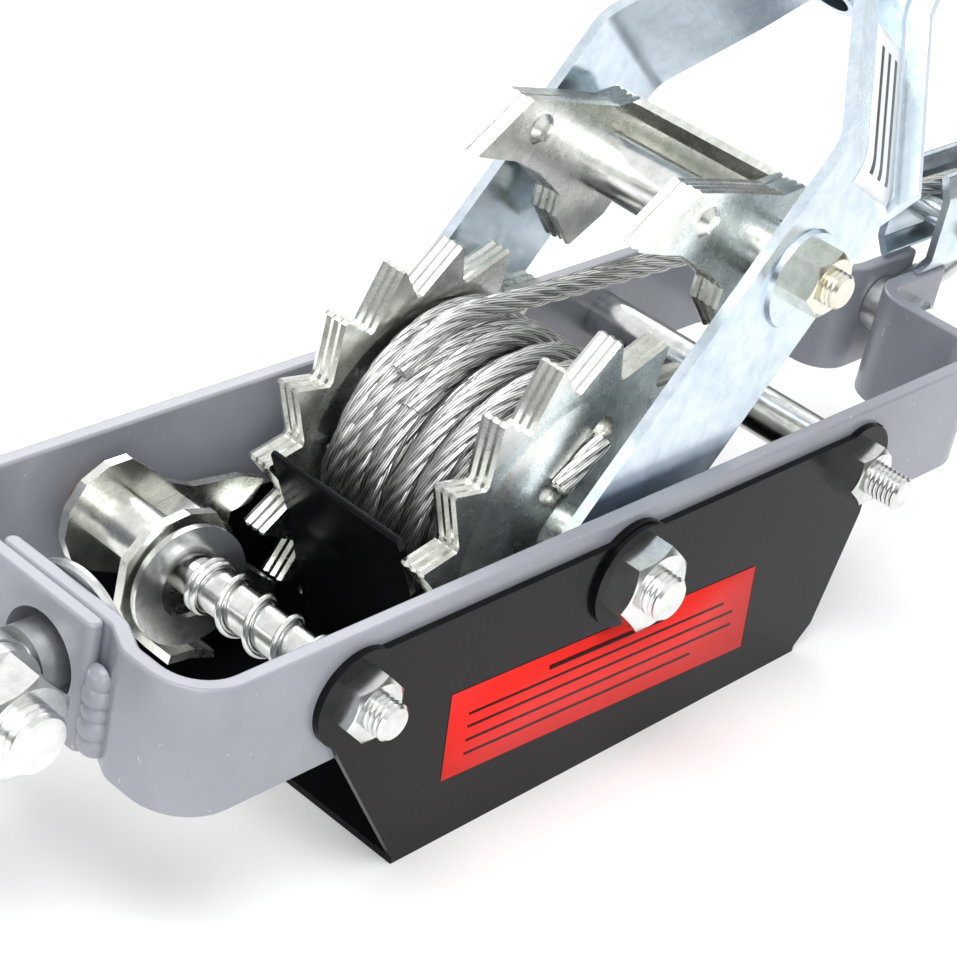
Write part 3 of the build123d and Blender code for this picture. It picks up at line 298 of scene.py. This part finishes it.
def tube_mesh(line, radius, verts, faces, wires, ring=RING):
    """Add a capped tube along a line to the lists of vertices, faces and places on the wires."""
    along = np.linalg.norm(np.diff(line, axis=0), axis=1)
    twist = 2 * math.pi * np.concatenate([[0], np.cumsum(along)]) / WIRE_LAY
    _, normal, side = frames_along(line)
    base = len(verts)
    turn = np.linspace(0, 2 * math.pi, ring, endpoint=False)
    rings = (
        line[:, None, :]
        + radius * np.cos(turn)[None, :, None] * normal[:, None, :]
        + radius * np.sin(turn)[None, :, None] * side[:, None, :]
    )
    verts.extend(map(tuple, rings.reshape(-1, 3)))
    for i in range(len(line) - 1):
        for j in range(ring):
            a = base + i * ring + j
            b = base + i * ring + (j + 1) % ring
            faces.append((a, b, b + ring, a + ring))
            left, right, low, high = j / ring, (j + 1) / ring, twist[i], twist[i + 1]
            wires.extend(((left, low), (right, low), (right, high), (left, high)))
    faces.append(tuple(base + j for j in reversed(range(ring))))
    last = base + (len(line) - 1) * ring
    faces.append(tuple(last + j for j in range(ring)))
    wires.extend([(0.0, 0.0)] * (2 * ring))


def add_rope(points, verts, faces, wires):
    """Lay the strands of a wire rope round a line of points, over a plain heart."""
    line, length = resample(points, STEP)
    tangent, normal, side = frames_along(line)
    tube_mesh(line, ROPE_R - 1.5 * STRAND_R, verts, faces, wires)
    for strand in range(STRANDS):
        angle = 2 * math.pi * (length / LAY_LENGTH + strand / STRANDS)
        offset = np.cos(angle)[:, None] * normal + np.sin(angle)[:, None] * side
        tube_mesh(line + STRAND_AT * offset, STRAND_R, verts, faces, wires)


def mesh_piece(name, verts, faces, wires, look, body):
    """A smooth mesh object that rides on a CAD body."""
    mesh = bpy.data.meshes.new(name)
    mesh.from_pydata(verts, [], faces)
    mesh.uv_layers.new(name="wire").data.foreach_set("uv", np.array(wires, np.float32).ravel())
    mesh.shade_smooth()
    mesh.set_sharp_from_angle(angle=math.radians(50))
    mesh.materials.append(look)
    piece = bpy.data.objects.new(name, mesh)
    bpy.context.scene.collection.objects.link(piece)
    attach(piece, body)
    return piece


# The rope's route from the top of the coil, round the sheave and back to its ferrule.
ROUTE = [
    at(-30.2, 11.4, 35.6),
    at(-17.3, 10.8, 46.9),
    at(0.6, 10.0, 46.7),
    at(38.0, 8.1, 46.2),
    at(180.0, 1.0, 44.7),
    at(216.0, 0.0, 44.3),
    at(228.0, 0.0, 44.1),
    at(252.6, 0.0, 43.9),
    at(252.6, 0.0, 22.6),
    at(233.5, 0.0, 17.5),
    at(206.0, 0.0, 9.9),
]


def route_line(name, points):
    """Points read from the smooth spline of a route."""
    curve = bpy.data.curves.new(name, "CURVE")
    curve.dimensions = "3D"
    curve.resolution_u = 24
    spline = curve.splines.new("NURBS")
    spline.points.add(len(points) - 1)
    for point, place in zip(spline.points, points):
        point.co = (*place, 1.0)
    spline.order_u = 3
    spline.use_endpoint_u = True
    holder = bpy.data.objects.new(name, curve)
    bpy.context.scene.collection.objects.link(holder)
    bpy.context.view_layer.update()
    mesh = bpy.data.meshes.new_from_object(holder)
    line = [v.co.copy() for v in mesh.vertices]
    bpy.data.objects.remove(holder)
    bpy.data.meshes.remove(mesh)
    return line


rope_line = route_line("rope_route", ROUTE)
verts, faces, wires = [], [], []
add_rope(rope_line, verts, faces, wires)
run = mesh_piece("rope_run_strands", verts, faces, wires, STRAND, "frame")
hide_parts("rope_run")

# The rope wound on the drum: an even inner layer, and an outer one that wanders and crosses.
coil_low, coil_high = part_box("wound_rope")
coil_mid_y = (coil_low.y + coil_high.y) / 2
coil_half = (coil_high.y - coil_low.y) / 2 - ROPE_R
OUTER_R = (coil_high.x - coil_low.x) / 2 - ROPE_R
INNER_R = OUTER_R - 1.72 * ROPE_R
POINTS_PER_TURN = 48


def winding(radius, turns, start_y, y_of_turn, phase):
    """Points of a wound layer: radius and Y as functions of the turn count."""
    points = []
    for i in range(int(turns * POINTS_PER_TURN) + 1):
        turn = i / POINTS_PER_TURN
        angle = phase - 2 * math.pi * turn
        y = start_y + y_of_turn(turn)
        r = radius(turn) if callable(radius) else radius
        points.append((AXLE.x + r * math.cos(angle), y, AXLE.z + r * math.sin(angle)))
    return points


verts, faces, wires = [], [], []
INNER_TURNS = 6.9
INNER_LEAD_IN = 0.45
INNER_PHASE = 2.3
even_pitch = 2 * coil_half / 6


def inner_y(turn):
    """How far along the drum the inner layer has moved, held still at both ends."""
    return min(2 * coil_half, even_pitch * max(0.0, turn - INNER_LEAD_IN))


add_rope(
    winding(INNER_R, INNER_TURNS, coil_mid_y - coil_half, inner_y, INNER_PHASE),
    verts,
    faces,
    wires,
)
OUTER_TURNS = (
    (-1.0, -0.62, 1.0, 0.3),
    (-0.42, -0.15, 1.0, 1.4),
    (0.12, -0.02, 1.02, 2.4),
    (0.42, 0.2, 1.0, 3.3),
    (0.66, 0.95, 1.0, 4.1),
    (0.98, 0.62, 0.985, 5.2),
)
for first, second, size, phase in OUTER_TURNS:

    def sway(turn, first=first, second=second):
        blend = 0.5 - 0.5 * math.cos(2 * math.pi * turn)
        return coil_half * (first + (second - first) * blend)

    ring = winding(OUTER_R * min(size, 1.0), 1.0, coil_mid_y, sway, phase)
    add_rope(ring, verts, faces, wires)
coil = mesh_piece("wound_rope_strands", verts, faces, wires, STRAND, "drum")
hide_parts("wound_rope")

# The cut end of the rope, held in the front wheel.
stub_low, stub_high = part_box("rope_end_stub")
verts, faces, wires = [], [], []
stub_y = (stub_low.y + stub_high.y) / 2
add_rope([at(-12, 0, 19), at(2, 0, 29)], verts, faces, wires)
verts = [(x, y - AXLE.y + stub_y, z) for x, y, z in verts]
stub = mesh_piece("rope_end_strands", verts, faces, wires, STRAND, "drum")
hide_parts("rope_end_stub")


# ---------------------------------------------------------------- labels
def sheet_piece(name, grid, look, body):
    """A thin sticker from rows of points, with its own map from 0 to 1 each way."""
    rows, columns = len(grid), len(grid[0])
    mesh = bpy.data.meshes.new(name)
    quads = [
        (i * columns + j, i * columns + j + 1, (i + 1) * columns + j + 1, (i + 1) * columns + j)
        for i in range(rows - 1)
        for j in range(columns - 1)
    ]
    mesh.from_pydata([tuple(p) for row in grid for p in row], [], quads)
    layer = mesh.uv_layers.new(name="label")
    for loop in mesh.loops:
        i, j = divmod(loop.vertex_index, columns)
        layer.data[loop.index].uv = (j / (columns - 1), i / (rows - 1))
    mesh.shade_smooth()
    mesh.materials.append(look)
    piece = bpy.data.objects.new(name, mesh)
    bpy.context.scene.collection.objects.link(piece)
    thick = piece.modifiers.new("thickness", "SOLIDIFY")
    thick.thickness = 0.12 * MM
    thick.offset = 0
    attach(piece, body)
    return piece


RED = printed(
    "red_label",
    (0.80, 0.022, 0.016),
    (0.03, 0.004, 0.004),
    [
        (0.80, 0.86, 0.3, 0.68),
        (0.2, 0.235, 0.06, 0.8),
        (0.36, 0.395, 0.06, 0.94),
        (0.52, 0.555, 0.06, 0.94),
        (0.67, 0.705, 0.06, 0.9),
    ],
)
LABEL_CORNERS = ((-60.7, -41.1), (64.8, -48.4), (-63.8, -12.9), (60.3, -19.1))
label_y = -52.92
low_left, low_right, top_left, top_right = [at(x, label_y, z) for x, z in LABEL_CORNERS]
grid = [
    [(low_left.lerp(top_left, v)).lerp(low_right.lerp(top_right, v), u) for u in (0, 0.25, 0.5, 0.75, 1)]
    for v in (0, 0.5, 1)
]
sheet_piece("red_label", grid, RED, "frame")

WHITE = printed(
    "white_label",
    (0.86, 0.88, 0.88),
    (0.03, 0.03, 0.03),
    [(0.1, 0.9, 0.16, 0.26), (0.1, 0.9, 0.42, 0.52), (0.1, 0.9, 0.68, 0.78)],
)
STICKER_GAP = 0.12
HANDLE_DEG = 49.5
ARM_FACE = 43.5
BEND_FROM, BEND_TO = 122.0, 172.0
BEND_DROP = 30.8
BEND_RADIUS = 15.6


def handle_at(s, across, y):
    a = math.radians(HANDLE_DEG)
    return at(s * math.cos(a) - across * math.sin(a), y, s * math.sin(a) + across * math.cos(a))


def arm_face(travel):
    """Distance along the handle and Y of the front arm's outer face, this far along its surface."""
    bend = math.atan2(BEND_DROP, BEND_TO - BEND_FROM)
    cut = (BEND_RADIUS - 1.6) * math.tan(bend / 2)
    start = BEND_FROM - cut
    arc = BEND_RADIUS * bend
    if travel <= start:
        return travel, -ARM_FACE
    if travel <= start + arc:
        turned = (travel - start) / BEND_RADIUS
        return start + BEND_RADIUS * math.sin(turned), -ARM_FACE + BEND_RADIUS * (1 - math.cos(turned))
    rest = travel - start - arc
    s0 = start + BEND_RADIUS * math.sin(bend)
    y0 = -ARM_FACE + BEND_RADIUS * (1 - math.cos(bend))
    return s0 + rest * math.cos(bend), y0 + rest * math.sin(bend)


grid = []
for i in range(25):
    row = []
    for u in (0, 0.25, 0.5, 0.75, 1):
        s, y = arm_face(120.0 + 1.95 * i - 4.0 * u)
        row.append(handle_at(s, -16.0 + 23.5 * u, y - STICKER_GAP))
    grid.append(row)
sheet_piece("white_label", grid, WHITE, "handle")


# ---------------------------------------------------------------- floor, light and camera
floor_mesh = bpy.data.meshes.new("floor")
FLOOR = 6.0
floor_mesh.from_pydata(
    [(-FLOOR, -FLOOR, 0), (FLOOR, -FLOOR, 0), (FLOOR, FLOOR, 0), (-FLOOR, FLOOR, 0)], [], [(0, 1, 2, 3)]
)
floor = bpy.data.objects.new("floor", floor_mesh)
bpy.context.scene.collection.objects.link(floor)
floor_look, _, floor_shader, _ = material("floor_pale")
floor_shader.inputs["Base Color"].default_value = (0.9, 0.9, 0.9, 1)
floor_shader.inputs["Roughness"].default_value = 0.7
floor_mesh.materials.append(floor_look)

world = bpy.data.worlds.new("studio")
bpy.context.scene.world = world
world.use_nodes = True
tree = world.node_tree
sky = tree.nodes["Background"]
coords = tree.nodes.new("ShaderNodeTexCoord")
split = tree.nodes.new("ShaderNodeSeparateXYZ")
bands = tree.nodes.new("ShaderNodeValToRGB")
tree.links.new(coords.outputs["Generated"], split.inputs[0])
tree.links.new(split.outputs["Z"], bands.inputs["Fac"])
tree.links.new(bands.outputs["Color"], sky.inputs["Color"])
stops = bands.color_ramp.elements
for where, level in ((0.0, 0.5), (0.1, 0.1), (0.26, 0.16), (0.42, 1.0)):
    stop = stops[0] if where == 0.0 else stops.new(where)
    stop.position = where
    stop.color = (level, level, level * 1.01, 1)
sky.inputs["Strength"].default_value = 1.0


def softbox(name, place, aim, size, power):
    data = bpy.data.lights.new(name, "AREA")
    data.shape = "RECTANGLE"
    data.size, data.size_y = size
    data.energy = power
    lamp = bpy.data.objects.new(name, data)
    lamp.location = place
    lamp.rotation_euler = (aim - place).to_track_quat("-Z", "Y").to_euler()
    bpy.context.scene.collection.objects.link(lamp)


middle = at(0, 0, 0)
softbox("key", middle + Vector((-0.5, -0.2, 1.1)), middle, (0.9, 0.5), 9)
softbox("side", middle + Vector((-0.9, -1.0, 0.5)), middle, (0.5, 0.9), 5)
softbox("back", middle + Vector((0.7, 1.1, 0.9)), middle, (1.2, 0.5), 8)

bpy.context.scene.view_settings.view_transform = "Standard"

AZIMUTH, ELEVATION, ROLL = (math.radians(v) for v in (52.944, 30.93, 12.4))
CAMERA_AT = (-484.6, -364.3, 362.3)
SENSOR_MM = 36.0
FOCAL_PX, IMAGE_PX = 2643.258, 957
look = Vector(
    (math.sin(AZIMUTH) * math.cos(ELEVATION), math.cos(AZIMUTH) * math.cos(ELEVATION), -math.sin(ELEVATION))
)
right = Vector((math.cos(AZIMUTH), -math.sin(AZIMUTH), 0))
up = right.cross(look)
rolled_x = right * math.cos(ROLL) + up * math.sin(ROLL)
rolled_y = -right * math.sin(ROLL) + up * math.cos(ROLL)
lens = bpy.data.cameras.new("camera")
lens.sensor_width = SENSOR_MM
lens.lens = SENSOR_MM * FOCAL_PX / IMAGE_PX
lens.clip_start = 0.01
camera = bpy.data.objects.new("camera", lens)
turned = Matrix((rolled_x, rolled_y, -look)).transposed().to_4x4()
camera.matrix_world = Matrix.Translation(at(*CAMERA_AT)) @ turned
bpy.context.scene.collection.objects.link(camera)
bpy.context.scene.camera = camera

bpy.context.view_layer.update()
